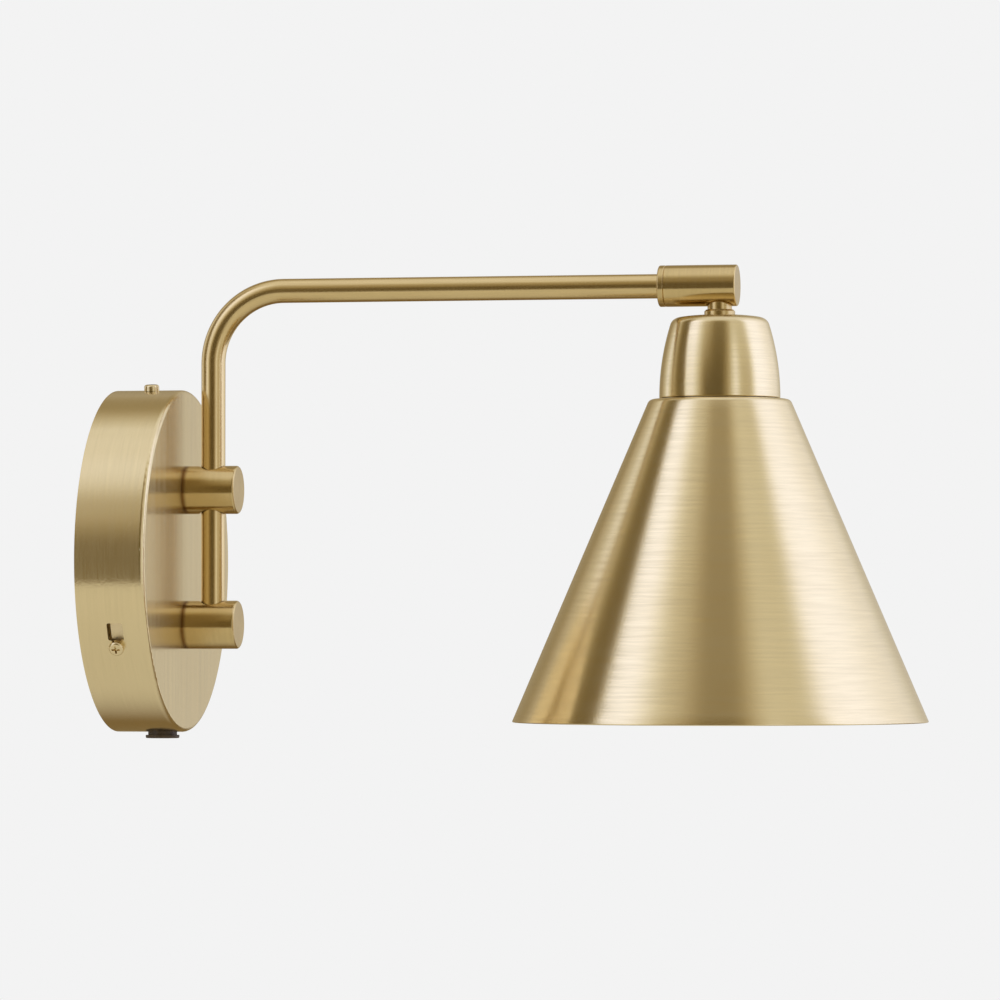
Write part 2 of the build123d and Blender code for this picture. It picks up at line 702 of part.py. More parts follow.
# ---------------------------------------------------------------- labels and files
pieces = {
    "wall_bracket": wall_bracket, "canopy_cover": canopy_cover, **cover_screws,
    "stiffener_plate": stiffener_plate, "upper_boss": upper_boss, "lower_boss": lower_boss,
    "upper_boss_bolt": upper_boss_bolt, "lead_nipple": lead_nipple,
    "lead_nipple_nut": lead_nipple_nut, "upper_bush": upper_bush, "lower_bush": lower_bush,
    "thrust_disc": thrust_disc, "terminal_block": terminal_block, **terminal_screws,
    "earth_washer": earth_washer, "earth_screw": earth_screw, "cable_grommet": cable_grommet,
    "switch_body": switch_body, "switch_button": switch_button,
    "arm_tube": arm_tube, "swivel_bolt": swivel_bolt, "spring_washer": spring_washer,
    "swivel_bush": swivel_bush, "knuckle_barrel": knuckle_barrel, "neck_nipple": neck_nipple,
    "seat_ring": seat_ring, "lock_nut": lock_nut, "shade_cap": shade_cap,
    "holder_dome": holder_dome, "holder_skirt": holder_skirt, "lamp_shell": lamp_shell,
    "centre_contact": centre_contact, "shade_ring": shade_ring, "shade_cone": shade_cone,
}
os.makedirs("parts", exist_ok=True)
for label, piece in pieces.items():
    piece.part.label = label
    export_step(piece.part, "parts/" + label + ".step")
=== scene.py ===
import bmesh
import bpy
import numpy as np
from bpy.props import FloatProperty, FloatVectorProperty, PointerProperty
from bpy.types import Operator, Panel, PropertyGroup
from mathutils import Matrix, Vector


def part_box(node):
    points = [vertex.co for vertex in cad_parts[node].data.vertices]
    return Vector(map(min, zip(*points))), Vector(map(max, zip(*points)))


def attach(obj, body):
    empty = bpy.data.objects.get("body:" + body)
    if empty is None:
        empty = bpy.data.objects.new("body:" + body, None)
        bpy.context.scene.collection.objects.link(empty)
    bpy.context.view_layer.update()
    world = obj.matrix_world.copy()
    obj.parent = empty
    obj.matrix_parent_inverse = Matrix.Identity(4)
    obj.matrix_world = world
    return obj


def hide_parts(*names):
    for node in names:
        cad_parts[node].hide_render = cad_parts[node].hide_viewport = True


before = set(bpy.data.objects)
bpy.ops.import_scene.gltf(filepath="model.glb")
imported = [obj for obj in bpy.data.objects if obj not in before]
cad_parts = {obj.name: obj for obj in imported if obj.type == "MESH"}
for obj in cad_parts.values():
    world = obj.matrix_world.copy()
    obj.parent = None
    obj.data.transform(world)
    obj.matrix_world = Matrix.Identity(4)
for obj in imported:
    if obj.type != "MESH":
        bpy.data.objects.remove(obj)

bl_info = {
    "name": "Swing-arm wall lamp in brushed brass",
    "version": (1, 0, 0),
    "blender": (4, 5, 0),
    "location": "View3D > Sidebar > Wall Lamp",
    "description": "Makes a swing-arm wall lamp in brushed brass, and a pale studio for it",
    "category": "Add Mesh",
}

MM = 0.001


def low(node):
    """Lowest corner of a frame node, in metres."""
    return np.array(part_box(node)[0])


def high(node):
    """Highest corner of a frame node, in metres."""
    return np.array(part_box(node)[1])


def linear(hex_colour):
    """sRGB hex colour as linear RGBA."""
    c = np.array([int(hex_colour[i:i + 2], 16) / 255 for i in (1, 3, 5)])
    c = np.where(c <= 0.04045, c / 12.92, ((c + 0.055) / 1.055) ** 2.4)
    return (*c.tolist(), 1.0)


def deeper(colour, share):
    """The colour times a share, which is one for all or one each for red, green and blue."""
    return (*np.multiply(colour[:3], share).tolist(), 1.0)


# Places that the frame gives. "out" is a distance from the wall, toward -Y.
tube_radius = high("arm_tube")[0]
upright_out = -high("arm_tube")[1] + tube_radius
arm_height = high("arm_tube")[2] - tube_radius
neck_out = -(low("neck_nipple")[1] + high("neck_nipple")[1]) / 2
neck_foot = (0.0, -neck_out, 0.0)
canopy_depth = -low("canopy_cover")[1]


# ---------------------------------------------------------------- sizes and colours
def length(name, default, description):
    """Length that a user may change, in metres."""
    return FloatProperty(name=name, default=float(default), min=0.0, unit="LENGTH", subtype="DISTANCE",
                         precision=5, description=description)


def tone(name, hex_colour, description):
    """Colour that a user may change, from its sRGB hex value."""
    return FloatVectorProperty(name=name, default=linear(hex_colour), size=4, min=0.0, max=1.0,
                               subtype="COLOR", description=description)


class WallLampSizes(PropertyGroup):
    bend_radius: length("Bend", 30 * MM, "Radius of the arm's bend, on the tube's centreline")
    tube_wall: length("Tube wall", 1.0 * MM, "Wall of the arm tube")
    cap_flat: length("Cap flat", 8.283 * MM, "Radius of the flat on top of the cap")
    cap_corner: length("Cap corner", 19.4 * MM, "Radius at which the cap's crown turns into its side")
    cap_corner_drop: length("Corner drop", 1.3 * MM, "How far that corner lies below the cap's top")
    cap_corner_round: length("Shoulder", 4.2 * MM, "Rounding of the cap's shoulder")
    cap_crown_rise: length("Crown rise", 0.2 * MM, "How much the crown rises over a straight line")
    cap_side_bulge: length("Side bulge", 1.4 * MM, "How much the cap's side bulges")
    sheet: length("Sheet", 1.0 * MM, "Thickness of the spun cap and shade")
    lip_round: length("Lip round", 0.4 * MM, "Rounding of the lips of the cap and the shade")
    shade_rim: length("Shade rim", 85 * MM, "Radius of the shade's foot, before its lip is rounded")
    shade_hole: length("Shade hole", 19.9 * MM, "Radius of the hole in the shade's top ring")
    shade_top: length("Shade top", 28.8 * MM, "Radius of the shade's flat top ring")
    shade_shoulder: length("Shade shoulder", 2.6 * MM, "Rounding between the top ring and the flank")
    brush_pitch: length("Brush pitch", 0.55 * MM, "Spacing of the brush lines, drawn coarse enough to show")
    brush_run: length("Brush run", 26 * MM, "How long one brush line runs")
    tube_pitch: length("Tube brush pitch", 0.5 * MM, "Spacing of the brush lines round the tube")
    face_pitch: length("Face brush pitch", 4 * MM, "Spacing of the soft streaks down the canopy's face")
    face_run: length("Face brush run", 150 * MM, "How long one of those streaks runs")
    face_edge: length("Face edge", 0.4 * MM, "How far behind the canopy's face they begin")
    grain_size: length("Grain", 1.1 * MM, "Grain that the blasting left under the brush lines")
    lacquer_drift: length("Lacquer drift", 45 * MM, "Distance over which the lacquer's thickness drifts")
    # painted shade: height of the brown line round a post's foot, which stands in for the shade in the crease
    # where the post meets the canopy
    crease_shade_height: length("Lacquer foot", 2.2 * MM, "Height of the brown line of lacquer round a post's foot")


class WallLampColours(PropertyGroup):
    brass: tone("Sheet brass", "#E2CF9E", "Satin sheet brass of canopy, cap and shade, under clear lacquer")
    bar_brass: tone("Bar brass", "#CFB67B", "Turned brass bar of posts, knuckle and neck, a little yellower")
    tube_brass: tone("Tube brass", "#D9C086", "Drawn brass tube of the arm")
    # painted shade: colour of the brown line that darkens the crease round a post's foot
    crease_shade_tone: tone("Lacquer line", "#7A5620", "Lacquer that gathered round the foot of a post")
    raw_brass: tone("Raw brass", "#BFA468", "Turned brass without lacquer")
    zinc: tone("Zinc", "#EAD6A8", "Zinc-plated steel with a yellow passivation")
    thermoset: tone("Black thermoset", "#1C1A18", "Pressed thermoset of the lampholder")
    button: tone("Button", "#4A3A22", "Moulded button of the switch")
    nylon: tone("Nylon", "#E7E3D8", "Natural nylon of liners and terminal block")
    rubber: tone("Rubber", "#565859", "Grey rubber of the grommet")
    floor: tone("Floor", "#E2E1DF", "Matte floor")
    # painted shade: floor colour that the gloss of the brass sees behind the lamp
    floor_shade: tone("Floor in shade", "#8A7650", "Floor behind the lamp, as the gloss of brass shows it")
    backdrop: tone("Backdrop", "#F3F3F3", "Pale ground behind the lamp")


# ---------------------------------------------------------------- shapes
def arc_through(a, m, b, n):
    """Arc through three flat points: its centre is as far from all three, and n points go round at even
    angles."""
    a, m, b = (np.asarray(p, float) for p in (a, m, b))
    square = np.array([a @ a, m @ m, b @ b])
    side = np.array([m - b, b - a, a - m])
    area = 2 * (a[0] * side[0, 1] + m[0] * side[1, 1] + b[0] * side[2, 1])
    centre = np.array([square @ side[:, 1], -(square @ side[:, 0])]) / area
    start, end = (np.arctan2(*(p - centre)[::-1]) for p in (a, b))
    turn = (end - start + np.pi) % (2 * np.pi) - np.pi
    angle = start + turn * np.linspace(0, 1, n)
    return centre + np.linalg.norm(a - centre) * np.stack([np.cos(angle), np.sin(angle)], -1)


def rounded(corners, rounds, steps=9):
    """Line through the corners, each one rounded by an arc that touches both of its sides. The arc's point at
    share k is the sine blend of its first and last radius. Straights get rows of points close to their
    ends, so that shading stays flat on them."""
    p, r = np.asarray(corners, float), np.asarray(rounds, float)
    k = np.linspace(0, 1, steps)[:, None]
    near = np.array([0.0, 0.03, 0.12, 0.5, 0.88, 0.97, 1.0])[:, None]
    runs, last = [], p[0]
    for i in range(1, len(p)):
        if i < len(p) - 1 and r[i] > 0:
            a = (p[i] - p[i - 1]) / np.linalg.norm(p[i] - p[i - 1])
            b = (p[i + 1] - p[i]) / np.linalg.norm(p[i + 1] - p[i])
            bend = np.arccos(np.clip(a @ b, -1, 1))
            reach = r[i] * np.tan(bend / 2)
            first, final = p[i] - a * reach, p[i] + b * reach
            centre = p[i] + (b - a) / np.linalg.norm(b - a) * r[i] / np.cos(bend / 2)
            arc = centre + (np.sin((1 - k) * bend) * (first - centre)
                            + np.sin(k * bend) * (final - centre)) / np.sin(bend)
            runs += [last + (first - last) * near, arc]
            last = final
        else:
            runs.append(last + (p[i] - last) * near)
            last = p[i]
    line = np.concatenate(runs)
    keep = np.r_[True, np.linalg.norm(np.diff(line, axis=0), axis=1) > 0.0001 * MM]
    return line[keep]


def spun(profile, foot, turns=160):
    """Surface of revolution: each (radius, height) of the profile goes round the upright through foot. The
    point at angle a is foot + height upward + radius times (cos a, sin a) across."""
    profile = np.asarray(profile, float)
    a = np.linspace(0, 2 * np.pi, turns, endpoint=False)
    radius, rise = profile[:, :1], profile[:, 1:]
    around = [radius * np.cos(a), radius * np.sin(a), np.broadcast_to(rise, (len(profile), turns))]
    return np.stack(around, -1) + np.asarray(foot, float)


def tube_along(path, radius, angles):
    """Round skin along a path in the plane X = 0: at (out, height, direction d) the ring's point at angle a
    is the path's point + radius times (cos a across X + sin a square to the path)."""
    out, height, d = path[:, :1], path[:, 1:2], path[:, 2:]
    x = np.broadcast_to(radius * np.cos(angles), (len(path), len(angles)))
    off = radius * np.sin(angles)
    return np.stack([x, -(out - off * np.sin(d)), height + off * np.cos(d)], -1)


def weave(rows, columns, round_columns=True, round_rows=False, start=0):
    """Four-sided faces of a grid, row by row; the last column or row joins the first where asked."""
    i = np.arange(rows if round_rows else rows - 1)[:, None]
    j = np.arange(columns if round_columns else columns - 1)[None, :]
    i2, j2 = (i + 1) % rows, (j + 1) % columns
    corners = np.broadcast_arrays(i * columns + j, i * columns + j2, i2 * columns + j2, i2 * columns + j)
    return np.stack(corners, -1).reshape(-1, 4) + start


def weld(mesh):
    """Makes one point of those that lie within a micron, and takes out the faces that this leaves empty."""
    form = bmesh.new()
    form.from_mesh(mesh)
    bmesh.ops.remove_doubles(form, verts=form.verts, dist=0.001 * MM)
    bmesh.ops.dissolve_degenerate(form, edges=form.edges, dist=0.00001 * MM)
    form.to_mesh(mesh)
    form.free()


def piece(name, skins, body, material, replaces=(), crease=32, uv=None):
    """Makes one object of the skins, a list of (grid of points, columns closed, rows closed). Grid points
    that meet are welded, and edges that turn by more than crease degrees stay sharp. uv gives each point its
    place along and round the piece, in metres."""
    points, faces, start = [], [], 0
    for grid, columns_closed, rows_closed in skins:
        points.append(grid.reshape(-1, 3))
        faces.append(weave(*grid.shape[:2], columns_closed, rows_closed, start))
        start += grid.shape[0] * grid.shape[1]
    mesh = bpy.data.meshes.new(name)
    mesh.from_pydata(np.concatenate(points), [], np.concatenate(faces))
    if uv is not None:
        layer = mesh.uv_layers.new(name="along")
        corner = np.empty(len(mesh.loops), np.int32)
        mesh.loops.foreach_get("vertex_index", corner)
        layer.data.foreach_set("uv", uv.reshape(-1, 2)[corner].astype(np.float32).ravel())
    weld(mesh)
    mesh.shade_smooth()
    mesh.set_sharp_from_angle(angle=np.radians(crease))
    mesh.materials.append(material)
    made = bpy.data.objects.new(name, mesh)
    bpy.context.scene.collection.objects.link(made)
    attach(made, body)
    if replaces:
        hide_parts(*replaces)
    return made


def finish_node(material, *nodes):
    """Gives frame nodes a finish in all of their material slots."""
    for node in nodes:
        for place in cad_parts[node].material_slots:
            place.material = material


# ---------------------------------------------------------------- finishes
# Most of a noise texture lies between these two values.
NOISE_LOW, NOISE_HIGH = 0.3, 0.7


def add(tree, kind, sockets=None, **settings):
    """Adds one node: settings are its own properties, sockets its input values or links, by name or
    number."""
    node = tree.nodes.new(kind)
    for key, value in settings.items():
        setattr(node, key, value)
    for key, value in (sockets or {}).items():
        if isinstance(value, bpy.types.NodeSocket):
            tree.links.new(value, node.inputs[key])
        else:
            node.inputs[key].default_value = value
    return node


def blank(name):
    """New material with an empty node tree and its output."""
    material = bpy.data.materials.new(name)
    material.use_nodes = True
    material.node_tree.nodes.clear()
    return material, material.node_tree, add(material.node_tree, "ShaderNodeOutputMaterial")


def lathe_lines(tree, centre, axis, pitch, run):
    """Coordinates of lines that run round an axis: radius plus height over the pitch is the fast one, and
    the place over the run gives two slow ones."""
    where = add(tree, "ShaderNodeTexCoord").outputs["Object"]
    local = add(tree, "ShaderNodeVectorMath", {0: where, 1: tuple(centre)}, operation="SUBTRACT").outputs[0]
    flat = (1, 1, 0) if axis == "Z" else (1, 0, 1)
    across = add(tree, "ShaderNodeVectorMath", {0: local, 1: flat}, operation="MULTIPLY").outputs[0]
    radius = add(tree, "ShaderNodeVectorMath", {0: across}, operation="LENGTH").outputs["Value"]
    parts = add(tree, "ShaderNodeSeparateXYZ", {0: local})
    rise = parts.outputs["Z" if axis == "Z" else "Y"]
    sign = 1.0 if axis == "Z" else -1.0
    fast = add(tree, "ShaderNodeMath", {0: rise, 1: sign, 2: radius}, operation="MULTIPLY_ADD").outputs[0]
    fast = add(tree, "ShaderNodeMath", {0: fast, 1: 1 / pitch}, operation="MULTIPLY").outputs[0]
    slow = add(tree, "ShaderNodeVectorMath", {0: across, "Scale": 1 / run}, operation="SCALE").outputs[0]
    slow = add(tree, "ShaderNodeSeparateXYZ", {0: slow})
    other = slow.outputs["Y" if axis == "Z" else "Z"]
    return where, add(tree, "ShaderNodeCombineXYZ", {0: slow.outputs["X"], 1: other, 2: fast}).outputs[0]


def satin_brass(name, centre, axis, metal="brass", pitch=None, roughness=0.22, lines=1.0, grain=1.0,
                pull=0.8, streak=1.0, face=0.0, foot=0.0):
    """Brass sheet, bar or tube, brushed and lacquered clear. Fine lines run round the axis "Z" or "out" from
    the wall, as on a lathe, or "along" the piece's own map, and the gloss is pulled across them. A faint
    millimetre grain breaks the edge of each reflection, and the tone drifts a little where the lacquer is
    thicker. Farther out than face, the flat end is brushed straight down instead. At the distance foot a
    painted shade, a brown line, darkens the crease where a post meets the canopy."""
    sizes, colours = bpy.context.scene.wall_lamp_sizes, bpy.context.scene.wall_lamp_colours
    colour, pitch, run = tuple(getattr(colours, metal)), pitch or sizes.brush_pitch, sizes.brush_run
    material, tree, output = blank(name)
    if axis == "along":
        where = add(tree, "ShaderNodeTexCoord").outputs["Object"]
        uv = add(tree, "ShaderNodeUVMap", uv_map="along").outputs[0]
        strokes = add(tree, "ShaderNodeVectorMath", {0: uv, 1: (1 / run, 1 / pitch, 0)},
                      operation="MULTIPLY").outputs[0]
        turn = add(tree, "ShaderNodeTangent", direction_type="UV_MAP", uv_map="along").outputs[0]
    else:
        where, strokes = lathe_lines(tree, centre, axis, pitch, run)
        turn = add(tree, "ShaderNodeTangent", direction_type="RADIAL",
                   axis="Z" if axis == "Z" else "Y").outputs[0]
    out = add(tree, "ShaderNodeSeparateXYZ", {0: where}).outputs["Y"]
    if face:
        flat = add(tree, "ShaderNodeMath", {0: out, 1: -face}, operation="LESS_THAN").outputs[0]
        down = add(tree, "ShaderNodeVectorMath", {0: where, 1: (1 / sizes.face_pitch, 0, 1 / sizes.face_run)},
                   operation="MULTIPLY").outputs[0]
        strokes = add(tree, "ShaderNodeMix", {0: flat, 4: strokes, 5: down}, data_type="VECTOR").outputs[1]
        turn = add(tree, "ShaderNodeMix", {0: flat, 4: turn, 5: (0, 0, 1)}, data_type="VECTOR").outputs[1]
    line = add(tree, "ShaderNodeTexNoise", {"Vector": strokes, "Scale": 1.0, "Detail": 3.0,
                                            "Roughness": 0.6}).outputs[0]
    sand = add(tree, "ShaderNodeTexNoise", {"Vector": where, "Scale": 1 / sizes.grain_size, "Detail": 1.5,
                                            "Roughness": 0.5}).outputs[0]
    drift = add(tree, "ShaderNodeTexNoise", {"Vector": where, "Scale": 1 / sizes.lacquer_drift,
                                             "Detail": 2.0}).outputs[0]
    # thicker lacquer is a little darker and warmer, and each brush line is a few percent paler or darker
    thick = deeper(colour, (0.93, 0.90, 0.84))
    base = add(tree, "ShaderNodeMix", {0: drift, 6: thick, 7: colour}, data_type="RGBA").outputs[2]
    streaked = add(tree, "ShaderNodeMapRange", {0: line, 1: NOISE_LOW, 2: NOISE_HIGH, 3: 1 + 0.04 * streak,
                                                4: 1 - 0.06 * streak}).outputs[0]
    if face:
        banded = add(tree, "ShaderNodeMapRange", {0: line, 1: NOISE_LOW, 2: NOISE_HIGH, 3: 1.05,
                                                  4: 0.92}).outputs[0]
        streaked = add(tree, "ShaderNodeMix", {0: flat, 2: streaked, 3: banded}).outputs[0]
    base = add(tree, "ShaderNodeVectorMath", {0: base, "Scale": streaked}, operation="SCALE").outputs[0]
    # painted shade: the base turns brown toward the post's foot, darkening the crease against the canopy
    if foot:
        near = add(tree, "ShaderNodeMapRange", {0: out, 1: -foot - sizes.crease_shade_height, 2: -foot},
                   interpolation_type="SMOOTHSTEP").outputs[0]
        base = add(tree, "ShaderNodeMix", {0: near, 6: base, 7: tuple(colours.crease_shade_tone)},
                   data_type="RGBA").outputs[2]
    gloss = add(tree, "ShaderNodeMapRange", {0: line, 1: 0.25, 2: 0.75, 3: roughness - 0.03,
                                             4: roughness + 0.05}).outputs[0]
    # lines 7 microns deep and grain of 10 microns, before each piece's own share of them
    brushed = add(tree, "ShaderNodeBump", {"Height": line, "Strength": 1.0, "Distance": 0.007 * MM * lines})
    grained = add(tree, "ShaderNodeBump", {"Height": sand, "Strength": 1.0, "Distance": 0.010 * MM * grain,
                                           "Normal": brushed.outputs[0]})
    shader = add(tree, "ShaderNodeBsdfPrincipled", {
        "Base Color": base, "Metallic": 1.0, "Roughness": gloss, "Anisotropic": pull,
        "Anisotropic Rotation": 0.25, "Coat Weight": 0.35, "Coat Roughness": 0.22, "Coat IOR": 1.5,
        "Normal": grained.outputs[0], "Tangent": turn})
    tree.links.new(shader.outputs[0], output.inputs[0])
    return material


def plain_finish(name, colour, metallic, roughness, spot_mm, depth_mm, spread=0.08, darker=0.85, ior=None):
    """A fine-grained surface: spots of one size carry a shallow relief, and clouds of nine times that size
    carry the tone and the gloss."""
    material, tree, output = blank(name)
    where = add(tree, "ShaderNodeTexCoord").outputs["Object"]
    spots = add(tree, "ShaderNodeTexNoise", {"Vector": where, "Scale": 1 / (spot_mm * MM),
                                             "Detail": 4.0}).outputs[0]
    cloud = add(tree, "ShaderNodeTexNoise", {"Vector": where, "Scale": 1 / (spot_mm * 9 * MM),
                                             "Detail": 2.0}).outputs[0]
    base = add(tree, "ShaderNodeMix", {0: cloud, 6: deeper(colour, darker), 7: colour},
               data_type="RGBA").outputs[2]
    gloss = add(tree, "ShaderNodeMapRange", {0: cloud, 1: NOISE_LOW, 2: NOISE_HIGH, 3: roughness - spread,
                                             4: roughness + spread}).outputs[0]
    relief = add(tree, "ShaderNodeBump", {"Height": spots, "Strength": 1.0, "Distance": depth_mm * MM})
    shader = add(tree, "ShaderNodeBsdfPrincipled", {"Base Color": base, "Metallic": metallic,
                                                    "Roughness": gloss, "Normal": relief.outputs[0]})
    if ior:
        shader.inputs["IOR"].default_value = ior
    tree.links.new(shader.outputs[0], output.inputs[0])
    return material


# ---------------------------------------------------------------- the lamp's pieces
class WALLLAMP_OT_canopy(Operator):
    """Finishes the round canopy on the wall and its cover screws"""
    bl_idname = "wall_lamp.canopy"
    bl_label = "Canopy"

    def execute(self, context):
        # spun sheet with a sandy rim and a softly streaked face
        face = canopy_depth - context.scene.wall_lamp_sizes.face_edge
        brass = satin_brass("satin_brass_spun_canopy", (0, 0, 0), "out", roughness=0.20, lines=0.4,
                            grain=1.9, streak=0.5, face=face)
        finish_node(brass, "canopy_cover", "cover_screw_top", "cover_screw_near", "cover_screw_far")
        return {"FINISHED"}


class WALLLAMP_OT_posts(Operator):
    """Finishes the two round posts that hold the arm"""
    bl_idname = "wall_lamp.posts"
    bl_label = "Posts"

    def execute(self, context):
        for node in ("upper_boss", "lower_boss"):
            # turned bar: smoother than the sheet, with a painted shade line at its foot, in the crease against
            # the canopy
            centre = (low(node) + high(node)) / 2
            finish_node(satin_brass("satin_brass_turned_" + node, centre, "out", "bar_brass", roughness=0.20,
                                    grain=0.6, lines=0.7, foot=canopy_depth), node)
        return {"FINISHED"}


class WALLLAMP_OT_arm(Operator):
    """Makes the bent arm tube"""
    bl_idname = "wall_lamp.arm"
    bl_label = "Arm"

    def execute(self, context):
        sizes = context.scene.wall_lamp_sizes
        path, sides = self.centreline(sizes.bend_radius), 72
        a = np.linspace(0, 2 * np.pi, sides + 1)
        outer = tube_along(path, tube_radius, a)
        inner = tube_along(path, tube_radius - sizes.tube_wall, -a)
        first, last = (np.stack([outer[i], inner[i][::-1]]) for i in (0, -1))
        skins = [(grid, False, False) for grid in (outer, inner, first[::-1], last)]
        walked = np.r_[0, np.cumsum(np.linalg.norm(np.diff(path[:, :2], axis=0), axis=1))]
        sheet = np.stack(np.broadcast_arrays(walked[:, None], a[None, :] * tube_radius), -1).reshape(-1, 2)
        uv = np.concatenate([sheet, sheet, np.zeros((4 * a.size, 2))])
        # drawn tube: nearly even gloss, with faint lines along it
        brass = satin_brass("satin_brass_drawn_tube", (0, 0, 0), "along", "tube_brass", sizes.tube_pitch,
                            roughness=0.22, grain=0.5, lines=0.5, pull=0.2)
        piece("arm_tube_drawn", skins, "arm", brass, ("arm_tube",), uv=uv)
        return {"FINISHED"}

    def centreline(self, bend):
        """Path of the tube: up, a quarter bend, then level. Each row is (out, height, direction)."""
        foot, end = low("arm_tube")[2], -low("arm_tube")[1]
        up_steps, bend_steps, level_steps = 12, 40, 30
        turn = np.linspace(0, np.pi / 2, bend_steps)[1:-1]
        runs = ((upright_out, np.linspace(foot, arm_height - bend, up_steps), np.pi / 2),
                (upright_out + bend * (1 - np.cos(turn)), arm_height - bend + bend * np.sin(turn),
                 np.pi / 2 - turn),
                (np.linspace(upright_out + bend, end, level_steps), arm_height, 0.0))
        return np.concatenate([np.stack(np.broadcast_arrays(*run), -1) for run in runs])


class WALLLAMP_OT_knuckle(Operator):
    """Finishes the knuckle at the end of the arm, the neck and the ring above the cap"""
    bl_idname = "wall_lamp.knuckle"
    bl_label = "Knuckle"

    def execute(self, context):
        # turned bar: smoother than the sheet, and the small neck a little duller
        brass = satin_brass("satin_brass_turned_knuckle", (0, 0, arm_height), "out", "bar_brass",
                            roughness=0.20, grain=0.6, lines=0.7)
        finish_node(brass, "knuckle_barrel", "swivel_bush")
        dull = satin_brass("satin_brass_turned_neck", neck_foot, "Z", "bar_brass", roughness=0.30,
                           grain=0.5, lines=0.7)
        finish_node(dull, "neck_nipple", "seat_ring")
        return {"FINISHED"}


class WALLLAMP_OT_shade(Operator):
    """Makes the domed cap and the cone shade"""
    bl_idname = "wall_lamp.shade"
    bl_label = "Cap and shade"

    def execute(self, context):
        sizes = context.scene.wall_lamp_sizes
        # spun sheet: lines round the upright, which spread each highlight into a fan
        brass = satin_brass("satin_brass_spun_cap", neck_foot, "Z", roughness=0.20, lines=0.7)
        piece("cap_spun", [(spun(cap_line(sizes), neck_foot), True, True)], "head", brass,
              ("shade_cap",))
        brass = satin_brass("satin_brass_spun_cone", neck_foot, "Z", roughness=0.21)
        piece("cone_spun", [(spun(cone_line(sizes), neck_foot, turns=224), True, True)], "head",
              brass, ("shade_cone",))
        return {"FINISHED"}


def cap_line(sizes):
    """The cap's profile as (radius, height), once round: out over the crown, down the side, round the lip and
    back up inside, then reversed. Crown and side are arcs through three points, with a blend between them."""
    top, foot, radius = high("shade_cap")[2], low("shade_cap")[2], high("shade_cap")[0]
    crown_steps, flank_steps, lip_steps = 16, 40, 7
    rim = []
    for inset in (0.0, sizes.sheet):
        corner = np.array([sizes.cap_corner - inset, top - sizes.cap_corner_drop - inset])
        flat, side = np.array([sizes.cap_flat, top - inset]), np.array([radius - inset, foot])
        crown = arc_through(flat, (flat + corner) / 2 + (0, sizes.cap_crown_rise), corner, crown_steps)
        flank = arc_through(corner, (corner + side) / 2 + (sizes.cap_side_bulge, 0), side, flank_steps)
        rim.append(blend_corner(crown, flank, sizes.cap_corner_round - inset))
    outer, inner = rim
    hole = high("neck_nipple")[0]
    lip = rounded([outer[-2], (outer[-1][0], foot), (inner[-1][0], foot), inner[-2]],
                  [0, sizes.lip_round, sizes.lip_round, 0], lip_steps)
    edge = [(hole, top - sizes.sheet), (hole, top)]
    return np.concatenate([edge, outer[:-1], lip[1:-1], inner[:-1][::-1]])[::-1]


def blend_corner(first, second, radius, room=1.02, handle=0.36, steps=13):
    """Joins two curves that meet in a corner. Points nearer to it than the tangent length of the radius, times
    room, give way to a cubic curve in line with both. Its handles are a share of the gap between its ends."""
    ways = first[-1] - first[-2], second[1] - second[0]
    a, b = (way / np.linalg.norm(way) for way in ways)
    reach = radius * np.tan(np.arccos(a @ b) / 2) * room
    corner = first[-1]
    one = first[np.linalg.norm(first - corner, axis=1) > reach]
    two = second[np.linalg.norm(second - corner, axis=1) > reach]
    leave, arrive = (way / np.linalg.norm(way) for way in (one[-1] - one[-2], two[1] - two[0]))
    k = np.linspace(0, 1, steps)[1:-1, None]
    hold = np.linalg.norm(two[0] - one[-1]) * handle
    p0, p1, p2, p3 = one[-1], one[-1] + leave * hold, two[0] - arrive * hold, two[0]
    cubic = (1 - k) ** 3 * p0 + 3 * k * (1 - k) ** 2 * p1 + 3 * k ** 2 * (1 - k) * p2 + k ** 3 * p3
    return np.concatenate([one, cubic, two])


def cone_line(sizes):
    """The shade's profile as (radius, height), once round: flat ring, shoulder, flank and rounded rim, and
    the same line one sheet thickness inside."""
    top, foot = high("shade_cone")[2], low("shade_cone")[2]
    rim, hole, ring, sheet = sizes.shade_rim, sizes.shade_hole, sizes.shade_top, sizes.sheet
    rise = top - foot
    level_wall = sheet * np.hypot(rim - ring, rise) / rise
    step = sheet * (rim - ring) / rise
    corners = [(hole, top - sheet), (hole, top), (ring, top), (rim, foot), (rim - level_wall, foot),
               (ring - level_wall + step, top - sheet), (hole, top - sheet)]
    rounds = [0, 0, sizes.shade_shoulder, sizes.lip_round, sizes.lip_round, sizes.shade_shoulder - sheet, 0]
    return rounded(corners, rounds)[:-1][::-1]


